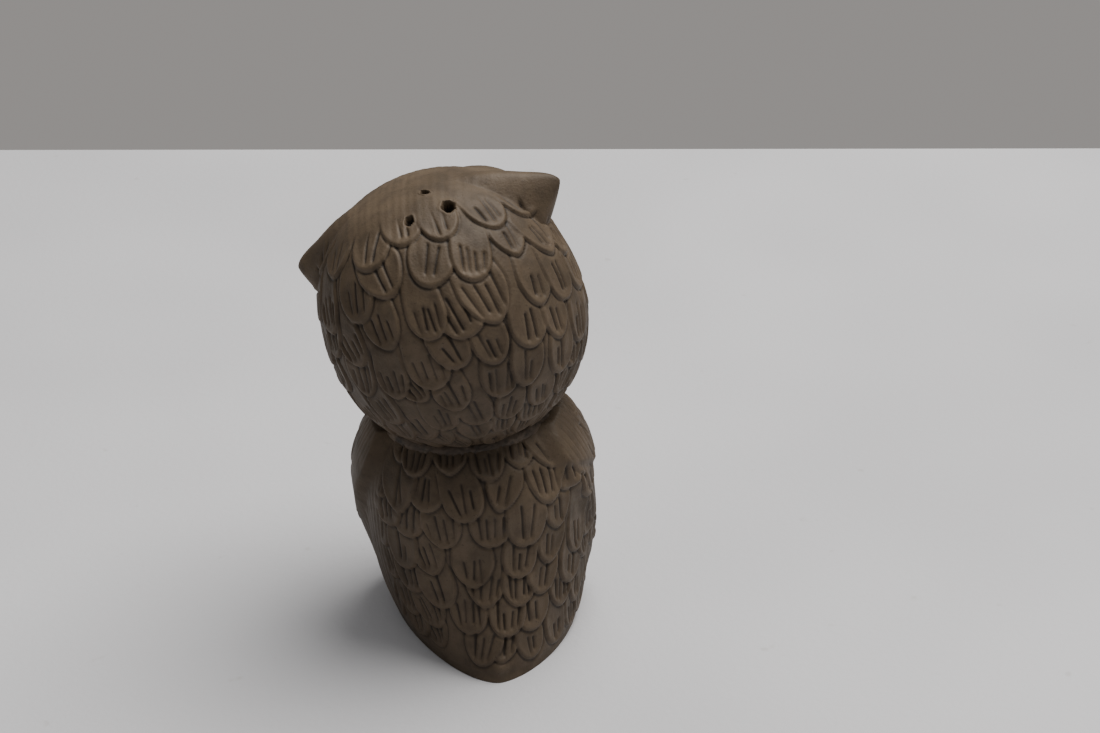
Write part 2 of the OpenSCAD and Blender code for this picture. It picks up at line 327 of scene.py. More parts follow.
def feather_head(skin):
    rng = np.random.default_rng(11)
    for row in reversed(range(len(HEAD_ROWS))):
        tip_angle, reach_angle, width = HEAD_ROWS[row]
        theta, reach = np.radians(tip_angle), np.radians(reach_angle)
        above = np.radians(HEAD_ROWS[row - 1][0] if row else 38)
        length = HEAD_R * (theta - above) + 4.0
        count = max(2, round(2 * reach * HEAD_R * np.sin(theta) / (width * 0.98)))
        step = 2 * reach / count
        order = list(range(count + 1))
        rng.shuffle(order)
        for k in order:
            turn = -reach + (k + 0.5 * (row % 2)) * step + rng.normal() * 0.15 * step
            lower = theta + rng.normal() * 0.045
            way = polar(lower, turn)
            down = polar(lower + np.pi / 2, turn)
            down = down + np.cross(way, down) * rng.normal() * SKEW
            way, down = ROW_AXES @ way, HEAD_AXES @ ROW_AXES @ down
            tip = on_head(way * head_radius(way[None])[0])
            lay_feather(skin, tip, down, width * rng.uniform(0.88, 1.24), length,
                        rng.uniform(*TIP_POWERS), FEATHER_LIFT, int(rng.integers(2, 5)), rng)


def polar(theta, turn):
    """A direction by its angle from the pole and its turn from the back."""
    return np.array([np.sin(theta) * np.sin(turn), np.sin(theta) * np.cos(turn), np.cos(theta)])


def make_head():
    columns, rows = dense_turns(), head_rows()
    theta, alpha = (g.ravel() for g in np.meshgrid(rows, columns, indexing="ij"))
    way = np.stack([np.sin(theta) * np.sin(alpha), np.sin(theta) * np.cos(alpha), np.cos(theta)], 1)
    radius = head_radius(way) - SKIN_INSET
    plain = HEAD + (way * radius[:, None]) @ HEAD_AXES.T
    plain_skin = Skin(plain, len(rows), len(columns))
    feather_head(plain_skin)
    tufts = tuft_height(way, 1, LEFT_TUFT) + tuft_height(way, -1, RIGHT_TUFT)
    face = face_height(way)
    smooth = smoothstep(0.15, 0.9, tufts) + smoothstep(0.25, 0.8, np.abs(face))
    front = smoothstep(1.75, 2.1, np.abs(alpha)) * (1 - smoothstep(1.75, 1.95, theta))
    first_row = row_angle(way) + 0.03 * np.sin(5 * alpha)
    keep = (1 - np.clip(smooth + front, 0, 1)) * smoothstep(0.66, 0.84, first_row)
    skin = Skin(HEAD + (way * (radius + tufts + face)[:, None]) @ HEAD_AXES.T, len(rows), len(columns))
    skin.height = plain_skin.height * keep + crown_streaks(way, theta, tufts)
    skin.way, skin.tufts = way, tufts
    return skin


def row_angle(way):
    """The angle from the pole that the feather rows run round."""
    return np.arccos(np.clip(way @ ROW_AXES[:, 2], -1, 1))


def crown_streaks(way, theta, tufts):
    """Faint brushed lines on the smooth crown and along the tufts."""
    across = way[:, 0] * HEAD_R
    lines = np.sin(across * 4.2 + 1.5 * np.sin(way[:, 1] * 5)) * np.sin(across * 1.7 + 2.0)
    return 0.035 * lines * (1 - smoothstep(0.5, 0.9, theta)) * (1 - smoothstep(0.5, 2.0, tufts))


POUR_HOLES = (
    # place across and behind the head's axis and radius in mm, how far the slip has closed it
    (-7.3, 7.1, 1.05, 0.0), (-3.7, 3.1, 0.6, 0.4), (-1.1, 9.1, 0.8, 0.6),
)


def open_pour_holes(skin):
    """Blind pits in the crown that stand for the pour holes, each with a little raised lip."""
    local = skin.way * head_radius(skin.way)[:, None]
    for place_x, place_y, radius, closed in POUR_HOLES:
        x, y = local[:, 0] - place_x, local[:, 1] - place_y
        around = np.arctan2(y, x)
        edge = radius * (1 + 0.12 * np.sin(2 * around + place_x) + 0.07 * np.sin(5 * around))
        far = np.hypot(x, y) / edge
        up = skin.way[:, 2] > 0
        pit = -POUR_DEPTH * (1 - closed) * (1 - smoothstep(0.72, 1.05, far))
        lip = 0.12 * bell(far - 1.3, 0.25)
        skin.height += np.where(up, pit + lip, 0)


# ---------------------------------------------------------------- the body


def outline_half(z, belly, foot, power, inset):
    rise = np.sqrt(np.clip(1 - ((z - BELLY_Z) / (BODY_TOP - inset - BELLY_Z)) ** 2, 0, None))
    drop = np.clip((BELLY_Z - z) / BELLY_Z, 0, None)
    return np.where(z > BELLY_Z, (belly - inset) * rise, belly - inset + (foot - belly) * drop**power)


def body_level(z, turn, inset):
    """Points of the body's outline at heights z, by the turn from its back."""
    drop = np.clip((BELLY_Z - z) / BELLY_Z, 0, 1)
    half = outline_half(z, HALF_W, FOOT_HALF_W, SIDE_POWER, inset)
    front = outline_half(z, BREAST, FOOT_FRONT, FRONT_POWER, inset)
    back = outline_half(z, BACK, TAIL, BACK_POWER, inset)
    c, s = np.sin(turn), np.cos(turn)
    p = 2 - (2 - TAIL_POWER) * drop
    behind = s > 0
    x = np.where(behind, np.sign(c) * np.abs(c) ** (2 / p), c) * half
    x = x + BODY_LEAN * (1 - drop) + np.where(behind, TAIL_SIDE * drop**2 * s**4, 0)
    y = np.where(behind, back * np.abs(s) ** (2 / p), front * s)
    return np.stack([x, y, z], -1)


def body_rows():
    """Heights up the outside of the body, from its base to near its top."""
    low = np.array([0.0, 0.12, 0.5, 1.0, 1.4])
    flank = np.linspace(1.65, BELLY_Z, 98)
    rise = np.radians(np.linspace(0, 89.3, 88)[1:])
    upper = BELLY_Z + (BODY_TOP - SKIN_INSET - BELLY_Z) * np.sin(rise)
    return np.concatenate([low, flank, upper])


def ring_at(radius, z, turns):
    return np.stack([radius * np.sin(turns), radius * np.cos(turns), np.full(len(turns), z)], -1)


def under_side(turns):
    """The cavity from its top down, the fill hole, the recess round it and the flat base."""
    rings = []
    for z in np.linspace(NECK_Z - 2.5, FLOOR_T + 0.6, 12):
        rings.append(body_level(np.full(len(turns), z), turns, WALL))
    floor = body_level(np.full(len(turns), FLOOR_T), turns, WALL)
    rings.append(mix(floor, ring_at(FILL_R, FLOOR_T, turns), 0.05))
    for radius, z in ((FILL_R + 0.3, FLOOR_T), (FILL_R, FLOOR_T - 0.3), (FILL_R, RECESS_D + 0.2),
                      (FILL_R + 0.15, RECESS_D), (RECESS_R - 0.2, RECESS_D),
                      (RECESS_R, RECESS_D - 0.2), (RECESS_R, 0.25), (RECESS_R + 0.3, 0.0)):
        rings.append(ring_at(radius, z, turns))
    edge = body_level(np.zeros(len(turns)), turns, SKIN_INSET)
    rings.append(mix(ring_at(RECESS_R, 0.0, turns), edge, 0.93))
    return rings


def wing_plane(points):
    """Where points lie in the plane of a wing's outline, moved to its own shoulder."""
    behind = np.where(points[:, 0] > 0, LEFT_SHOULDER_Y, RIGHT_SHOULDER_Y)
    return np.stack([points[:, 1] - behind, points[:, 2]], -1)


def wing_depth(points):
    """How far inside the wing's outline a point lies, in mm, seen from the side."""
    flat = wing_plane(points)
    line = WING_TIP - SHOULDER
    along = np.clip((flat - SHOULDER) @ line / (line @ line), 0, 1)
    middle = SHOULDER + along[:, None] * line
    return mix(SHOULDER_R, WING_TIP_R, along) - np.linalg.norm(flat - middle, axis=1), along


# The smooth lobe of the right wing ends on a line that rises to the back; below a wing's tip the
# lift fades out over TIP_BLEND mm
LOBE_Z, LOBE_SLOPE, LOBE_START, TIP_BLEND = 27.0, 0.55, 2.0, 5.0


def wing_relief(points):
    """The lift of a wing and of the body that blends into its tip, the wing's outline, and how
    bare of feathers its back half is."""
    depth, along = wing_depth(points)
    wing = smoothstep(-0.6, 0.3, depth)
    right = points[:, 0] < 0
    edge = LOBE_Z + LOBE_SLOPE * np.clip(points[:, 1] - LOBE_START, 0, None)
    lobe = np.where(right, smoothstep(-0.7, 0.7, points[:, 2] - edge), 1.0)
    rise = smoothstep(-0.15 - TIP_BLEND * along**2, 1.7 + along, depth)
    lift = (WING_PROUD + SKIN_INSET - 0.05) * rise * (0.7 + 0.3 * lobe)
    flat = wing_plane(points)
    lines = np.clip(np.sin(flat[:, 0] * 5.5 + np.sin(flat[:, 1] * 0.7)), 0, 1) ** 3
    lift -= 0.09 * lines * smoothstep(0.8, 2.0, depth) * smoothstep(29, 33, points[:, 2])
    return lift, wing, wing * lobe * smoothstep(-0.5, 2.6, flat[:, 0])


def skin_place(y, z, side):
    """The point of the body's side at a height and a distance behind the middle."""
    turns = np.radians(np.linspace(30, 150, 300)) * side
    line = body_level(np.full(300, z), turns, SKIN_INSET)
    return line[np.argmin(np.abs(line[:, 1] - y))]


def feather_wings(skin):
    """Long flight feathers and two rows of short ones on the front half of each wing."""
    rng = np.random.default_rng(41)
    for side, shoulder_y in ((1, LEFT_SHOULDER_Y), (-1, RIGHT_SHOULDER_Y)):
        plan = [(-6.5 + 2.1 * k, 9.8 + 2.6 * k, 3.3, 15.0) for k in range(4)]
        plan += [(-8.0 + 3.3 * k, 23.0 + 0.5 * k, 4.0, 8.0) for k in range(4)]
        plan += [(-6.6 + 3.3 * k, 28.0, 4.2, 8.0) for k in range(3)]
        for across, z, width, length in plan:
            tip = skin_place(across + shoulder_y, z + rng.normal() * 0.3, side)
            high = skin_place(across + shoulder_y + 0.25, z + 1.0, side)
            lay_feather(skin, tip, tip - high, width, length, 2.0, WING_FEATHER_LIFT, 1, rng)


BODY_ROWS = (
    # height of the tips and width of a feather, in mm
    (34.5, 6.4), (28.6, 6.8), (22.6, 7.2), (17.0, 7.0), (11.8, 6.6), (7.0, 6.2), (2.8, 5.6),
)
BACK_REACH = np.radians(78.0)


def feather_back(skin):
    rng = np.random.default_rng(23)
    for row in reversed(range(len(BODY_ROWS))):
        z, width = BODY_ROWS[row]
        above = BODY_ROWS[row - 1][0] if row else z + 6
        turns = np.linspace(-BACK_REACH, BACK_REACH, 400)
        line = body_level(np.full(400, z), turns, SKIN_INSET)
        run = np.concatenate([[0], np.cumsum(np.linalg.norm(np.diff(line, axis=0), axis=1))])
        count = max(3, round(run[-1] / (width * 0.95)))
        order = list(range(count + 1))
        rng.shuffle(order)
        for k in order:
            place = (k + 0.5 * (row % 2)) / count + rng.normal() * 0.14 / count
            turn = np.interp(np.clip(place, 0, 1) * run[-1], run, turns)
            lower = max(1.6, z + rng.normal() * 0.9)
            tip = body_level(np.array([lower]), np.array([turn]), SKIN_INSET)[0]
            high = body_level(np.array([lower + 1.0]), np.array([turn]), SKIN_INSET)[0]
            down = unit(tip - high)
            down = down + np.array([np.cos(turn), -np.sin(turn), 0]) * rng.normal() * SKEW
            lay_feather(skin, tip, down, width * rng.uniform(0.9, 1.25), above - z + 4.2,
                        rng.uniform(*TIP_POWERS), FEATHER_LIFT, int(rng.integers(2, 5)), rng)


def feather_breast(skin):
    """Soft, shallow scallops in front, between the wings."""
    rng = np.random.default_rng(5)
    rows = ((31.0, 5.2), (26.0, 5.6), (21.0, 5.6), (16.0, 5.4), (11.0, 5.2))
    for row in reversed(range(len(rows))):
        z, width = rows[row]
        reach = np.radians(58)
        count = max(4, round(2 * reach * BREAST / width))
        for k in range(count + 1):
            turn = np.pi - reach + (k + 0.5 * (row % 2)) * 2 * reach / count + rng.normal() * 0.01
            tip = body_level(np.array([z]), np.array([turn]), SKIN_INSET)[0]
            high = body_level(np.array([z + 1.0]), np.array([turn]), SKIN_INSET)[0]
            lay_feather(skin, tip, tip - high, width * 1.08, 9.0, 2.0, BREAST_LIFT, 1, rng)


# Where the feathered back gives way to the plain flanks, and the little nub at the tip of the tail
LEFT_FLANK, RIGHT_FLANK = np.radians(66), np.radians(78)
NUB, NUB_H, NUB_WIDTH = np.array([TAIL_SIDE, TAIL - 0.6, 2.6]), 0.55, 1.3


def make_body():
    turns, heights = dense_turns(), body_rows()
    outside = [body_level(np.full(len(turns), z), turns, SKIN_INSET) for z in heights]
    below = under_side(turns)
    points = np.concatenate(below + outside)
    rings = len(below) + len(outside)
    skin = Skin(points, rings, len(turns))
    skin.outside = np.repeat(np.arange(rings) >= len(below), len(turns))
    feather_back(skin)
    feather_breast(skin)
    feather_wings(skin)
    turn = np.tile(turns, rings)
    skin.height = mix(skin.height, skin.blurred(skin.height, 2, 3), smoothstep(1.9, 2.1, np.abs(turn)))
    lift, wing, bare = wing_relief(points)
    flank = np.abs(turn) > np.where(turn > 0, LEFT_FLANK, RIGHT_FLANK)
    back = np.abs(turn) < np.pi * 0.55
    plain = np.clip(np.where(back, skin.blurred(flank.astype(float), 12, 0), 0.0), 0, 1)
    fine = 0.05 * np.sin(turn * 95 + 2 * np.sin(points[:, 2] * 0.3)) * smoothstep(3, 6, points[:, 2])
    plain = plain * np.where(turn > 0, 1, 1 - wing) * (1 - wing * smoothstep(1.45, 1.55, np.abs(turn)))
    skin.height = mix(skin.height, fine, plain) * (1 - bare)
    rim = smoothstep(0.8, 1.7, points[:, 2])
    skin.height = skin.height * rim - 0.12 * bell(points[:, 2] - 1.2, 0.25)
    skin.height += NUB_H * bell(np.linalg.norm(points - NUB, axis=1), NUB_WIDTH)
    skin.height = np.where(skin.outside, skin.height, 0)
    skin.lift, skin.wing = np.where(skin.outside, lift, 0), wing
    return skin


# ---------------------------------------------------------------- meshes and materials


def neck_local(points):
    return (points - NECK) @ NECK_AXES


def end_at_neck(points, side, gap=0.35):
    """Flattens what lies past the neck joint onto a plane just beyond it."""
    local = neck_local(points)
    past = local[:, 2] * side > gap
    local[past, 2] = gap * side
    return NECK + local @ NECK_AXES.T


def new_piece(name, points, faces, body, nodes, material, fields=None, normals=None):
    mesh = bpy.data.meshes.new(name + "_look")
    mesh.from_pydata((points * MM).tolist(), [], faces)
    mesh.polygons.foreach_set("use_smooth", [True] * len(mesh.polygons))
    for field, values in (fields or {}).items():
        data = mesh.attributes.new(field, "FLOAT", "POINT").data
        data.foreach_set("value", np.asarray(values, dtype=np.float32))
    if normals is not None:
        mesh.normals_split_custom_set_from_vertices(normals.tolist())
    obj = bpy.data.objects.new(name + "_look", mesh)
    bpy.context.scene.collection.objects.link(obj)
    mesh.materials.append(material)
    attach(obj, body)
    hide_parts(*nodes)
    return obj


def pole_faces(skin):
    """Triangles that close the first and last ring onto two added points."""
    last = (skin.rings - 1) * skin.columns
    i = np.arange(skin.columns)
    j = (i + 1) % skin.columns
    apex = np.full(skin.columns, len(skin.points))
    return np.concatenate([np.stack([apex, i, j], 1), np.stack([apex + 1, last + j, last + i], 1)])


def with_poles(skin, values):
    """Values of the points with the means of the first and last ring added."""
    first, last = values[: skin.columns].mean(0), values[-skin.columns:].mean(0)
    return np.concatenate([values, [first], [last]])


def open_edges(quads, triangles):
    edges = np.concatenate([quads[:, [k, (k + 1) % 4]] for k in range(4)]
                           + [triangles[:, [k, (k + 1) % 3]] for k in range(3)])
    _, inverse, counts = np.unique(np.sort(edges, axis=1), axis=0, return_inverse=True,
                                   return_counts=True)
    return edges[counts[inverse.ravel()] == 1]


def closed_part(points, normals, fields, quads, triangles, closing):
    """The points that some faces use, and faces that join each open edge to a hidden point."""
    rims = open_edges(quads, triangles)
    middle = points[rims].mean(1)
    nearest = np.argmin(((middle[:, None] - closing[None]) ** 2).sum(2), axis=1)
    used = np.unique(np.concatenate([quads.ravel(), triangles.ravel()]))
    index = np.full(len(points), -1)
    index[used] = np.arange(len(used))
    faces = index[quads].tolist() + index[triangles].tolist()
    faces += [[index[b], index[a], len(used) + k] for (a, b), k in zip(rims, nearest)]
    out_points = np.vstack([points[used], closing])
    out_normals = np.vstack([normals[used], np.tile([0, 0, 1.0], (len(closing), 1))])
    out_fields = {k: np.append(v[used], np.zeros(len(closing))) for k, v in fields.items()}
    return out_points, faces, out_normals, out_fields


def make_skin_pieces(skin, side, masks, names, closings, materials):
    """A skin as its main piece and one piece for each mask, with the relief laid on."""
    lift = skin.height + getattr(skin, "lift", 0)
    points = end_at_neck(skin.points + skin.normals * lift[:, None], side)
    points = with_poles(skin, points)
    triangles = pole_faces(skin)
    normals = mesh_normals(points, skin.faces, triangles)
    # The second field is painted light and shade: it is higher towards the top of each piece and lower
    # towards the bottom, and the clay material turns it into painted shade.
    fields = {"relief": with_poles(skin, cavity(skin, skin.height)), "tone": with_poles(skin, skin.tone)}
    owner = np.zeros(len(skin.faces), dtype=int)
    for k, mask in enumerate(masks):
        owner[mask[skin.faces].mean(1) > 0.5] = k + 1
    none = np.zeros((0, 3), dtype=int)
    for k, name in enumerate(names):
        hidden = closings if k == 0 else closings[k - 1: k]
        part = closed_part(points, normals, fields, skin.faces[owner == k],
                           triangles if k == 0 else none, hidden)
        new_piece(name, part[0], part[1], "owl", [name], materials[k], part[3], part[2])


def mesh_normals(points, quads, triangles):
    out = np.zeros_like(points)
    cross = np.cross(points[quads[:, 2]] - points[quads[:, 0]], points[quads[:, 3]] - points[quads[:, 1]])
    for corner in range(4):
        np.add.at(out, quads[:, corner], cross)
    cross = np.cross(points[triangles[:, 1]] - points[triangles[:, 0]],
                     points[triangles[:, 2]] - points[triangles[:, 0]])
    for corner in range(3):
        np.add.at(out, triangles[:, corner], cross)
    return unit(out)


def cavity(skin, height):
    """How far a point lies above or below what is round it: pale rims and dark cuts."""
    return np.clip((height - skin.blurred(height, 90, 60)) * 2.0, -1, 1)


def math_node(tree, operation, a, b):
    out = tree.nodes.new("ShaderNodeMath")
    out.operation = operation
    for socket, value in zip(out.inputs, (a, b)):
        if isinstance(value, (int, float)):
            socket.default_value = value
        else:
            tree.links.new(value, socket)
    return out.outputs[0]


def mix_colour(tree, share, a, b, blend="MIX"):
    out = tree.nodes.new("ShaderNodeMix")
    out.data_type, out.blend_type = "RGBA", blend
    for socket, value in ((out.inputs["Factor"], share), (out.inputs["A"], a), (out.inputs["B"], b)):
        if isinstance(value, (int, float)):
            socket.default_value = value
        elif isinstance(value, tuple):
            socket.default_value = (*value, 1)
        else:
            tree.links.new(value, socket)
    return out.outputs["Result"]


def ramp(tree, value, low, high):
    out = tree.nodes.new("ShaderNodeMapRange")
    out.interpolation_type = "SMOOTHSTEP"
    out.inputs["From Min"].default_value, out.inputs["From Max"].default_value = low, high
    tree.links.new(value, out.inputs["Value"])
    return out.outputs["Result"]


def noise(tree, where, scale, detail=3.0, roughness=0.55):
    out = tree.nodes.new("ShaderNodeTexNoise")
    out.inputs["Scale"].default_value = scale
    out.inputs["Detail"].default_value = detail
    out.inputs["Roughness"].default_value = roughness
    tree.links.new(where, out.inputs["Vector"])
    return out.outputs["Fac"]


def start_material(name):
    material = bpy.data.materials.new(name)
    material.use_nodes = True
    tree = material.node_tree
    shader = tree.nodes["Principled BSDF"]
    where = tree.nodes.new("ShaderNodeTexCoord").outputs["Object"]
    return material, tree, shader, where


def field(tree, name):
    out = tree.nodes.new("ShaderNodeAttribute")
    out.attribute_name = name
    return out.outputs["Fac"]


def bump(tree, shader, height, distance, strength=1.0):
    out = tree.nodes.new("ShaderNodeBump")
    out.inputs["Distance"].default_value = distance
    out.inputs["Strength"].default_value = strength
    tree.links.new(height, out.inputs["Height"])
    tree.links.new(out.outputs["Normal"], shader.inputs["Normal"])


# Clay colours, in linear light
CLAY_PALE, CLAY, CLAY_DARK = (0.113, 0.079, 0.048), (0.068, 0.046, 0.026), (0.017, 0.011, 0.0065)


def clay(name, pale=CLAY_PALE, base=CLAY, dark=CLAY_DARK, grain=1.0):
    """Bare fired clay, rubbed with a dark stain that stays in the cuts and wears off the rims."""
    material, tree, shader, where = start_material(name)
    relief = field(tree, "relief")
    broad = noise(tree, where, 70.0, 2.0)
    mottle = noise(tree, where, 420.0, 4.0)
    speck = noise(tree, where, 2600.0, 2.0)
    body = mix_colour(tree, ramp(tree, broad, 0.35, 0.68), base, pale)
    body = mix_colour(tree, math_node(tree, "MULTIPLY", ramp(tree, mottle, 0.40, 0.75), 0.35), body, dark)
    wear = math_node(tree, "MULTIPLY", ramp(tree, relief, 0.12, 0.75), 0.55)
    body = mix_colour(tree, wear, body, pale)
    cuts = math_node(tree, "MULTIPLY", relief, -1.0)
    stain = math_node(tree, "MULTIPLY", ramp(tree, cuts, 0.06, 0.62), 0.9)
    body = mix_colour(tree, stain, body, dark)
    body = mix_colour(tree, math_node(tree, "MULTIPLY", ramp(tree, speck, 0.62, 0.74), 0.45), body, dark)
    # Painted shade: the colour darkens towards the dark clay where the point's painted light share is low,
    # so the body is darker towards its bottom and the head paler towards its top.
    painted_shade = math_node(tree, "MULTIPLY", math_node(tree, "SUBTRACT", 1.0, field(tree, "tone")), 0.34)
    body = mix_colour(tree, painted_shade, body, dark)
    tree.links.new(body, shader.inputs["Base Color"])
    rough = tree.nodes.new("ShaderNodeMapRange")
    rough.inputs["To Min"].default_value, rough.inputs["To Max"].default_value = 0.5, 0.74
    tree.links.new(mottle, rough.inputs["Value"])
    tree.links.new(rough.outputs["Result"], shader.inputs["Roughness"])
    shader.inputs["Specular IOR Level"].default_value = 0.35
    coarse, fine = math_node(tree, "MULTIPLY", mottle, 0.6), math_node(tree, "MULTIPLY", speck, 0.25)
    height = math_node(tree, "ADD", coarse, fine)
    bump(tree, shader, height, 0.00022 * grain)
    return material


def eye_glaze(name):
    """An amber iris with a dark pupil and a dark rim, under a clear glaze."""
    material, tree, shader, where = start_material(name)
    turn = field(tree, "turn")
    rays = noise(tree, where, 900.0, 2.0)
    iris = mix_colour(tree, ramp(tree, rays, 0.3, 0.7), (0.22, 0.085, 0.015), (0.50, 0.25, 0.045))
    iris = mix_colour(tree, ramp(tree, turn, 0.40, 0.46), (0.004, 0.003, 0.003), iris)
    iris = mix_colour(tree, ramp(tree, turn, 0.74, 0.84), iris, (0.03, 0.017, 0.01))
    tree.links.new(iris, shader.inputs["Base Color"])
    shader.inputs["Roughness"].default_value = 0.14
    shader.inputs["Coat Weight"].default_value = 0.6
    shader.inputs["Coat Roughness"].default_value = 0.05
    bump(tree, shader, noise(tree, where, 500.0, 1.0), 0.00004)
    return material


def stopper_plastic(name):
    material, tree, shader, where = start_material(name)
    broad = noise(tree, where, 160.0, 3.0)
    colour = mix_colour(tree, ramp(tree, broad, 0.3, 0.7), (0.62, 0.60, 0.54), (0.72, 0.70, 0.64))
    speck = ramp(tree, noise(tree, where, 1400.0, 2.0), 0.62, 0.76)
    colour = mix_colour(tree, math_node(tree, "MULTIPLY", speck, 0.3), colour, (0.34, 0.31, 0.26))
    tree.links.new(colour, shader.inputs["Base Color"])
    rough = tree.nodes.new("ShaderNodeMapRange")
    rough.inputs["To Min"].default_value, rough.inputs["To Max"].default_value = 0.38, 0.6
    tree.links.new(broad, rough.inputs["Value"])
    tree.links.new(rough.outputs["Result"], shader.inputs["Roughness"])
    bump(tree, shader, noise(tree, where, 2200.0, 2.0), 0.00006)
    return material


# ---------------------------------------------------------------- small pieces


def grid_faces(rows, columns, start=0):
    return (ring_faces(rows, columns) + start).tolist()


def tube(rings, start=0):
    """Points and faces of a closed tube through rings of points, with a point at each end."""
    rows, columns = len(rings), len(rings[0])
    points = np.concatenate(list(rings) + [[rings[0].mean(0)], [rings[-1].mean(0)]])
    faces = grid_faces(rows, columns, start)
    for i in range(columns):
        j = (i + 1) % columns
        faces.append([start + rows * columns, start + i, start + j])
        faces.append([start + rows * columns + 1, start + (rows - 1) * columns + j,
                      start + (rows - 1) * columns + i])
    return points, faces


def on_head(local):
    return HEAD + local @ HEAD_AXES.T


def make_eye(name, side, material):
    """A glazed ball with a slight bulge over the iris."""
    axis = eye_way(side)
    across = unit(np.cross([0, 0, 1.0], axis))
    up = np.cross(axis, across)
    middle = axis * (HEAD_R - EYE_R + EYE_PROUD)
    turns = np.linspace(0, 2 * np.pi, 73)[:-1]
    rings, turn_field = [], []
    for theta in np.radians(np.linspace(150, 1, 60)):
        radius = EYE_R - 0.12 + 0.1 * bell(theta, 0.5)
        ring = radius * np.sin(theta) * (np.outer(np.cos(turns), across) + np.outer(np.sin(turns), up))
        rings.append(on_head(middle + ring + axis * radius * np.cos(theta)))
        turn_field += [1.0 if theta > np.pi / 2 else np.sin(theta)] * len(turns)
    points, faces = tube(rings)
    fields = {"turn": turn_field + [1.0, 0.0]}
    return new_piece(name, points, faces, "owl", [name], material, fields)


def make_beak(name, material):
    """A short hooked beak with a keel down its front and a nostril on each side."""
    turns = np.linspace(0, 2 * np.pi, 49)[:-1]
    rings, relief = [], []
    for t in np.linspace(0.0, 1.0, 40):
        taper = np.sqrt(max(0.0, 1 - t**1.9)) * (0.75 + 0.25 * smoothstep(0.0, 0.25, t))
        wide, deep = 2.7 * taper + 0.02, 2.5 * taper + 0.02
        front = -(HEAD_R - 1.4) - 1.6 * np.sin(np.pi * (0.12 + 0.62 * t)) + 1.3 * t**3
        keel = 1 + 0.16 * bell(np.sin(turns / 2 + np.pi / 4) - 1, 0.06)
        nostril = bell(t - 0.22, 0.06) * (bell(np.abs(turns - 1.5 * np.pi) - 0.75, 0.28))
        size = keel * (1 - 0.22 * nostril)
        x, y = wide * np.cos(turns) * size, front + deep * np.sin(turns) * size
        rings.append(on_head(np.stack([x, y, np.full(len(turns), 2.0 - 8.6 * t)], 1))[::-1])
        relief += list((-0.9 * nostril + 0.4 * bell(t - 0.05, 0.04))[::-1])
    points, faces = tube(rings)
    return new_piece(name, points, faces, "owl", [name], material,
                     {"relief": relief + [0, 0]})


TOE_SPREAD, TOE_R, FOOT_X, HEEL_BACK = np.radians(26), 1.85, 8.0, 4.0


def make_foot(name, side, material):
    """Three knuckled toes from one heel, each with a small claw."""
    heel = np.array([side * FOOT_X, -FOOT_FRONT + HEEL_BACK, 1.6])
    turns = np.linspace(0, 2 * np.pi, 37)[:-1]
    points, faces, relief = [], [], []
    for spread in (-TOE_SPREAD, 0.0, TOE_SPREAD):
        ahead = np.array([np.sin(spread), -np.cos(spread), 0])
        across = np.array([np.cos(spread), np.sin(spread), 0])
        toe = []
        for t in np.linspace(-1, 1, 46):
            run = 3.6 + t * 3.35
            round_end = np.sqrt(max(0.0, 1 - abs(t) ** 7)) + 0.02
            crease = bell(run - 2.6, 0.3) + bell(run - 4.6, 0.3)
            r = TOE_R * round_end * (1 - 0.10 * crease + 0.05 * np.cos(run * 3.1))
            ring = heel + ahead * run + np.outer(np.cos(turns), across) * r
            ring[:, 2] = np.maximum(0.03, 1.55 + np.sin(turns) * r * 0.92)
            toe.append(ring)
            relief += list(-0.8 * crease * np.ones(len(turns)))
        p, f = tube(toe, sum(len(q) for q in points))
        points.append(p)
        faces += f
        relief += [0, 0]
        claw = []
        for t in np.linspace(0, 1, 14):
            r = 0.95 * np.sqrt(1 - t**1.5) + 0.01
            centre = heel + ahead * (5.6 + 2.0 * t) + np.array([0, 0, 0.1 + 0.5 * (1 - t)])
            ring = centre + np.outer(np.cos(turns), across) * r * 0.75
            ring[:, 2] = np.maximum(0.02, ring[:, 2] + np.sin(turns) * r)
            claw.append(ring)
            relief += [-0.55 * smoothstep(0.0, 0.15, t)] * len(turns)
        p, f = tube(claw, sum(len(q) for q in points))
        points.append(p)
        faces += f
        relief += [0, 0]
    return new_piece(name, np.concatenate(points), faces, "owl", [name], material,
                     {"relief": relief})


def make_slip_joint(name, material):
    """The bead of slip that joins the head, smoothed in places and crumbly in others."""
    local = np.array([NECK_Z, 0])
    half = float(outline_half(local, HALF_W, FOOT_HALF_W, SIDE_POWER, 0.0)[0])
    joint_r = min(half, HEAD_R * np.sqrt(1 - (HEAD_RISE / CHIN_H) ** 2))
    turns = np.linspace(0, 2 * np.pi, 361)[:-1]
    sweep = np.linspace(0, 2 * np.pi, 41)[:-1]
    a, b = (g.ravel() for g in np.meshgrid(turns, sweep, indexing="ij"))
    way = np.stack([np.cos(b) * np.cos(a), np.cos(b) * np.sin(a), np.sin(b)], 1)
    middle = joint_r * np.stack([np.cos(a), np.sin(a), np.zeros(len(a))], 1)
    skin = Skin(middle + way * 1.5, len(turns), len(sweep))
    rough = 0.35 + 0.65 * smoothstep(0.1, 0.9, -np.cos(a - 0.6))
    skin.height = rough * (0.16 * soft_noise(skin.points, 3.0, 3) + 0.12 * soft_noise(skin.points, 1.1, 4))
    skin.height += 0.06 * soft_noise(skin.points, 0.5, 6, 16) * rough
    points = NECK + (skin.points + way * skin.height[:, None]) @ NECK_AXES.T
    relief = np.clip(skin.height * 2.5 - 0.25, -1, 1)
    faces = wrapped_faces(len(turns), len(sweep))
    return new_piece(name, points, faces, "owl", [name], material, {"relief": relief})


def wrapped_faces(rows, columns):
    k, i = (g.ravel() for g in np.meshgrid(np.arange(rows), np.arange(columns), indexing="ij"))
    k2, j = (k + 1) % rows, (i + 1) % columns
    return np.stack([k * columns + i, k2 * columns + i, k2 * columns + j, k * columns + j], 1).tolist()


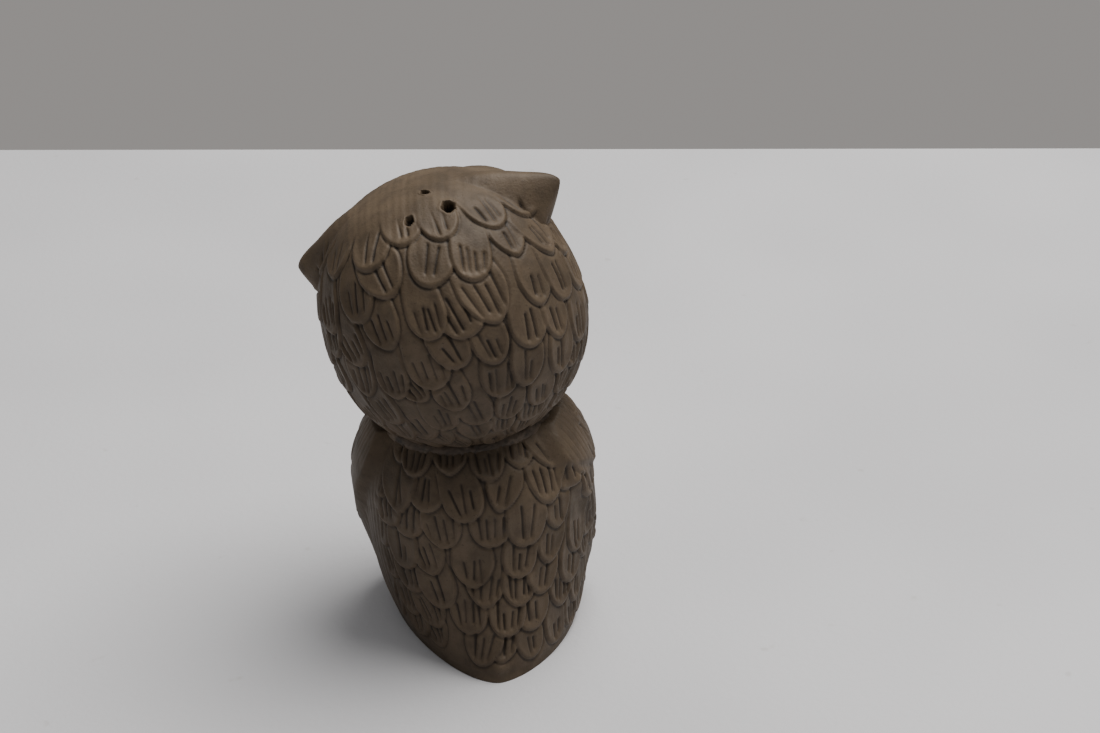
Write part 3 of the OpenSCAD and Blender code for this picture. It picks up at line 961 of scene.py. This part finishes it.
PLUG_R, FLANGE_R, FLANGE_T, PLUG_LEN, PLUG_WALL = 9.44, 11.44, 1.5, 7.0, 1.2
RIBS, GRIP_GROOVE_R = (6.6, 5.0), 9.3


def make_stopper(name, material):
    """A moulded plug with a rounded flange, two sealing ribs and a grip bar underneath."""
    low, high = RECESS_D - FLANGE_T, RECESS_D + PLUG_LEN
    profile = [(0.05, RECESS_D), (PLUG_R - PLUG_WALL - 0.3, RECESS_D),
               (PLUG_R - PLUG_WALL, RECESS_D + 0.3), (PLUG_R - PLUG_WALL, high - 0.2),
               (PLUG_R - PLUG_WALL + 0.2, high), (PLUG_R - 0.75, high), (PLUG_R - 0.5, high - 0.25),
               (PLUG_R - 0.12, high - 1.2)]
    for rib in RIBS:
        profile += [(PLUG_R - 0.12, rib + 0.5), (PLUG_R, rib), (PLUG_R - 0.12, rib - 0.5)]
    profile += [(PLUG_R - 0.12, RECESS_D), (FLANGE_R - 0.3, RECESS_D), (FLANGE_R - 0.08, RECESS_D - 0.1),
                (FLANGE_R, RECESS_D - 0.3), (FLANGE_R, low + 0.3), (FLANGE_R - 0.1, low + 0.1),
                (FLANGE_R - 0.35, low)]
    profile += [(r, low) for r in np.linspace(FLANGE_R - 0.7, 0.05, 40)]
    turns = np.linspace(0, 2 * np.pi, 145)[:-1]
    rings = []
    for r, z in profile:
        ring = np.stack([r * np.cos(turns), r * np.sin(turns), np.full(len(turns), z)], 1)
        if z <= low:
            bar = smoothstep(1.5, 1.1, np.abs(ring[:, 1])) * smoothstep(6.2, 5.6, np.abs(ring[:, 0]))
            groove = bell(r - GRIP_GROOVE_R, 0.25)
            ring[:, 2] += -0.45 * bar + 0.2 * groove
        rings.append(ring[::-1])
    points, faces = tube(rings)
    return new_piece(name, points, faces, "stopper", [name], material)


def facet_smooth(obj, degrees=40):
    """Smooth shading that keeps the edges sharper than an angle."""
    obj.data.set_sharp_from_angle(angle=np.radians(degrees))


# ---------------------------------------------------------------- the scene


def make_camera():
    camera = bpy.data.cameras.new("camera")
    camera.lens, camera.sensor_width = LENS_MM, SENSOR_MM
    obj = bpy.data.objects.new("camera", camera)
    bpy.context.scene.collection.objects.link(obj)
    c = np.cos(CAMERA_HEIGHT)
    back = Vector((np.sin(CAMERA_TURN) * c, np.cos(CAMERA_TURN) * c, np.sin(CAMERA_HEIGHT)))
    right = Vector((-np.cos(CAMERA_TURN), np.sin(CAMERA_TURN), 0))
    place = Vector(LOOK_AT) + back * CAMERA_REACH
    aim = Vector(LOOK_AT) + right * AIM_RIGHT + back.cross(right) * AIM_UP
    obj.location = place
    obj.rotation_euler = (aim - place).to_track_quat("-Z", "Y").to_euler()
    bpy.context.scene.camera = obj


FLOOR_SIDE, FLOOR_NEAR, FLOOR_FAR, FLOOR_TURN = 2.5, 2.5, -0.187, np.radians(1.8)


def make_floor():
    """A sheet of pale paper, with its far edge not far behind the owl."""
    material, tree, shader, where = start_material("paper")
    broad = noise(tree, where, 9.0, 2.0)
    colour = mix_colour(tree, ramp(tree, broad, 0.3, 0.7), (0.56, 0.555, 0.57), (0.63, 0.625, 0.64))
    fleck = ramp(tree, noise(tree, where, 190.0, 2.0), 0.70, 0.78)
    colour = mix_colour(tree, math_node(tree, "MULTIPLY", fleck, 0.25), colour, (0.36, 0.33, 0.3))
    tree.links.new(colour, shader.inputs["Base Color"])
    shader.inputs["Roughness"].default_value = 0.9
    bump(tree, shader, noise(tree, where, 700.0, 3.0), 0.0001)
    mesh = bpy.data.meshes.new("floor")
    corners = [(-FLOOR_SIDE, FLOOR_FAR, 0), (FLOOR_SIDE, FLOOR_FAR, 0),
               (FLOOR_SIDE, FLOOR_NEAR, 0), (-FLOOR_SIDE, FLOOR_NEAR, 0)]
    mesh.from_pydata(corners, [], [(0, 1, 2, 3)])
    mesh.transform(Matrix.Rotation(-CAMERA_TURN - FLOOR_TURN, 4, "Z"))
    floor = bpy.data.objects.new("floor", mesh)
    bpy.context.scene.collection.objects.link(floor)
    mesh.materials.append(material)


WALL_GREY, WALL_DIM, CEILING = (0.30, 0.285, 0.275), (0.17, 0.165, 0.16), (0.42, 0.425, 0.43)


def area_light(name, place, size, power, colour):
    light = bpy.data.lights.new(name, "AREA")
    light.shape, light.size, light.energy, light.color = "DISK", size, power, colour
    obj = bpy.data.objects.new(name, light)
    obj.location = place
    obj.rotation_euler = (Vector(LOOK_AT) - Vector(place)).to_track_quat("-Z", "Y").to_euler()
    bpy.context.scene.collection.objects.link(obj)


def make_lights():
    """A bright soft ceiling over darker walls, and a wide window overhead to the owl's right."""
    world = bpy.data.worlds.new("world")
    world.use_nodes = True
    tree = world.node_tree
    where = tree.nodes.new("ShaderNodeTexCoord").outputs["Generated"]
    up = tree.nodes.new("ShaderNodeSeparateXYZ")
    tree.links.new(where, up.inputs["Vector"])
    walls = mix_colour(tree, ramp(tree, up.outputs["Z"], -0.3, 0.05), WALL_GREY, WALL_DIM)
    sky = mix_colour(tree, ramp(tree, up.outputs["Z"], 0.2, 0.85), walls, CEILING)
    tree.links.new(sky, tree.nodes["Background"].inputs["Color"])
    bpy.context.scene.world = world
    area_light("window", (-0.30, -0.12, 0.9), 0.8, 13.0, (1.0, 0.98, 0.95))


make_camera()
make_floor()
make_lights()

bisque = clay("bisque_clay")
slip = clay("slip_clay", pale=(0.17, 0.125, 0.085), base=(0.085, 0.06, 0.042), grain=1.6)
beak_clay = clay("beak_clay", pale=(0.12, 0.085, 0.055), base=(0.07, 0.048, 0.032))
glaze = eye_glaze("eye_glaze")
plastic = stopper_plastic("stopper_plastic")

head = make_head()
open_pour_holes(head)
# Painted light: the head is painted paler towards its top.
head.tone = smoothstep(-0.6, 0.9, head.way[:, 2]) * 0.75 + 0.25
tuft_masks = [np.where(head.way[:, 0] * side > 0, head.tufts > 0.9, False) for side in (1, -1)]
tuft_roots = np.array([on_head(tuft_way(side) * (HEAD_R - 3)) for side in (1, -1)])
make_skin_pieces(head, -1, tuft_masks, ["head_shell", "left_ear_tuft", "right_ear_tuft"], tuft_roots,
                 [bisque] * 3)

body = make_body()
# Painted shade: the body is painted darker towards its bottom.
body.tone = 0.25 + 0.45 * smoothstep(0, 34, body.points[:, 2])
wing_masks = [(body.wing > 0.5) & body.outside & ((body.points[:, 0] - BODY_LEAN) * side > 0)
              for side in (1, -1)]
wing_roots = np.array([[BODY_LEAN + side * 17.0, -1.0, 27.0] for side in (1, -1)])
make_skin_pieces(body, 1, wing_masks, ["body_shell", "left_wing", "right_wing"], wing_roots,
                 [bisque] * 3)

make_slip_joint("neck_slip_joint", slip)
make_eye("left_eye", 1, glaze)
make_eye("right_eye", -1, glaze)
make_beak("beak", beak_clay)
make_foot("left_foot", 1, bisque)
make_foot("right_foot", -1, bisque)
facet_smooth(make_stopper("base_stopper", plastic))
